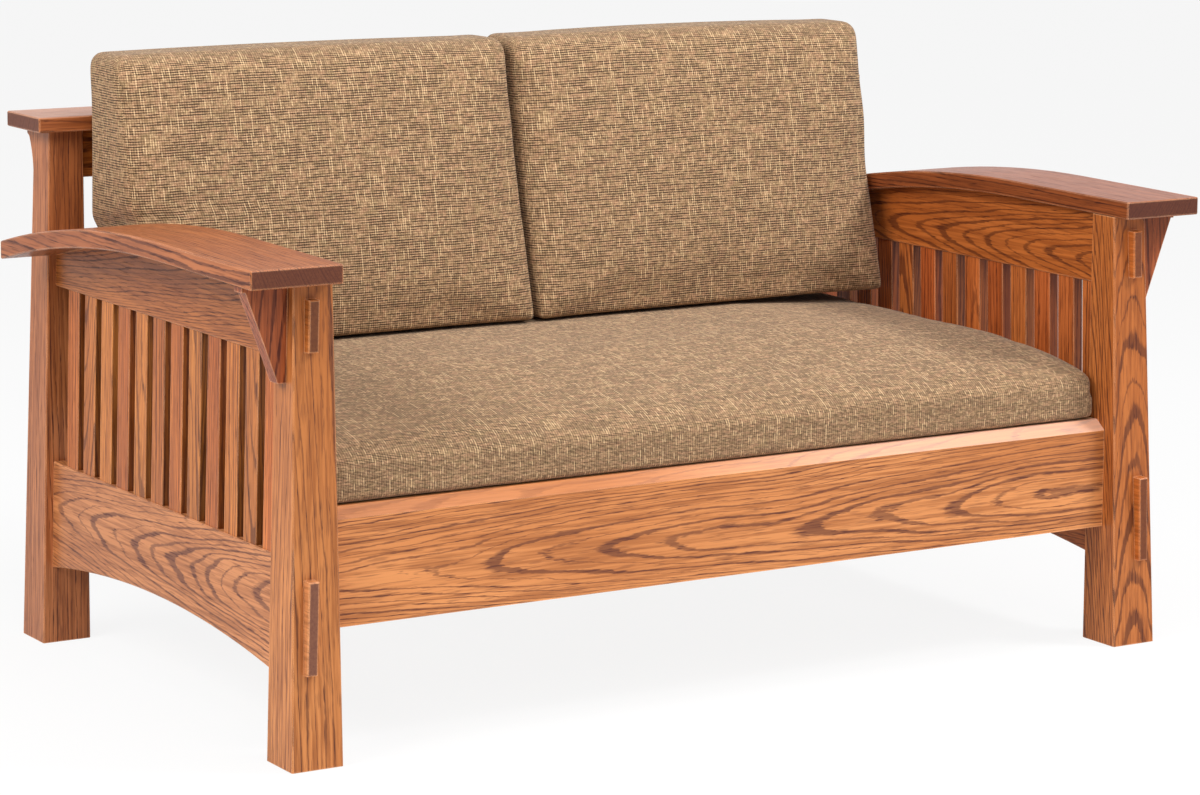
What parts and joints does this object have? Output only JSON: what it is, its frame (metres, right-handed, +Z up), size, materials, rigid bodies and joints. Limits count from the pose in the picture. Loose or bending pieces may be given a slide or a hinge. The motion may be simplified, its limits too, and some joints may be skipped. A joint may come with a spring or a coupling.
{
  "type": "settle",
  "caption": "Low mission settle with bowed flat arms on corbels, slatted open ends and back, a wide front rail, one long seat cushion and loose back cushions.",
  "frame": {"origin": "centre of the bounding box on the floor", "axes": "+X along the settle to the sitter's left, seen from the front to the right, +Y from front to rear, +Z up"},
  "size_m": [1.53, 0.9006, 0.8708],
  "materials": {
    "stained_oak": "satin",
    "plain_wood": "matte",
    "upholstery_fabric": "matte",
    "screw_steel": "satin"
  },
  "bodies": {
    "frame": {"arm_left": "stained_oak", "arm_right": "stained_oak", "back_slat_1": "stained_oak", "back_slat_10": "stained_oak", "back_slat_11": "stained_oak", "back_slat_12": "stained_oak", "back_slat_2": "stained_oak", "back_slat_3": "stained_oak", "back_slat_4": "stained_oak", "back_slat_5": "stained_oak", "back_slat_6": "stained_oak", "back_slat_7": "stained_oak", "back_slat_8": "stained_oak", "back_slat_9": "stained_oak", "back_top_rail": "stained_oak", "cap_rail": "stained_oak", "corbel_left": "stained_oak", "corbel_right": "stained_oak", "deck_screws": "screw_steel", "front_ledger": "plain_wood", "front_leg_left": "stained_oak", "front_leg_right": "stained_oak", "front_seat_rail": "stained_oak", "ledger_screws": "screw_steel", "rear_ledger": "plain_wood", "rear_post_left": "stained_oak", "rear_post_right": "stained_oak", "rear_seat_rail": "stained_oak", "seat_deck": "plain_wood", "side_bottom_rail_left": "stained_oak", "side_bottom_rail_right": "stained_oak", "side_slat_left_1": "stained_oak", "side_slat_left_10": "stained_oak", "side_slat_left_11": "stained_oak", "side_slat_left_12": "stained_oak", "side_slat_left_2": "stained_oak", "side_slat_left_3": "stained_oak", "side_slat_left_4": "stained_oak", "side_slat_left_5": "stained_oak", "side_slat_left_6": "stained_oak", "side_slat_left_7": "stained_oak", "side_slat_left_8": "stained_oak", "side_slat_left_9": "stained_oak", "side_slat_right_1": "stained_oak", "side_slat_right_10": "stained_oak", "side_slat_right_11": "stained_oak", "side_slat_right_12": "stained_oak", "side_slat_right_2": "stained_oak", "side_slat_right_3": "stained_oak", "side_slat_right_4": "stained_oak", "side_slat_right_5": "stained_oak", "side_slat_right_6": "stained_oak", "side_slat_right_7": "stained_oak", "side_slat_right_8": "stained_oak", "side_slat_right_9": "stained_oak", "side_top_rail_left": "stained_oak", "side_top_rail_right": "stained_oak"},
    "seat_cushion": {"seat_cushion": "upholstery_fabric"},
    "back_cushion_left": {"back_cushion_left": "upholstery_fabric"},
    "back_cushion_right": {"back_cushion_right": "upholstery_fabric"}
  },
  "joints": [
    {"name": "seat_cushion_draw", "type": "slide", "parent": "frame", "child": "seat_cushion", "axis": [0, -1, 0], "range_m": [0, 0.83]},
    {"name": "back_cushion_left_lift", "type": "slide", "parent": "seat_cushion", "child": "back_cushion_left", "axis": [0, 0, 1], "range_m": [0, 0.45]},
    {"name": "back_cushion_right_lift", "type": "slide", "parent": "seat_cushion", "child": "back_cushion_right", "axis": [0, 0, 1], "range_m": [0, 0.45]}
  ]
}
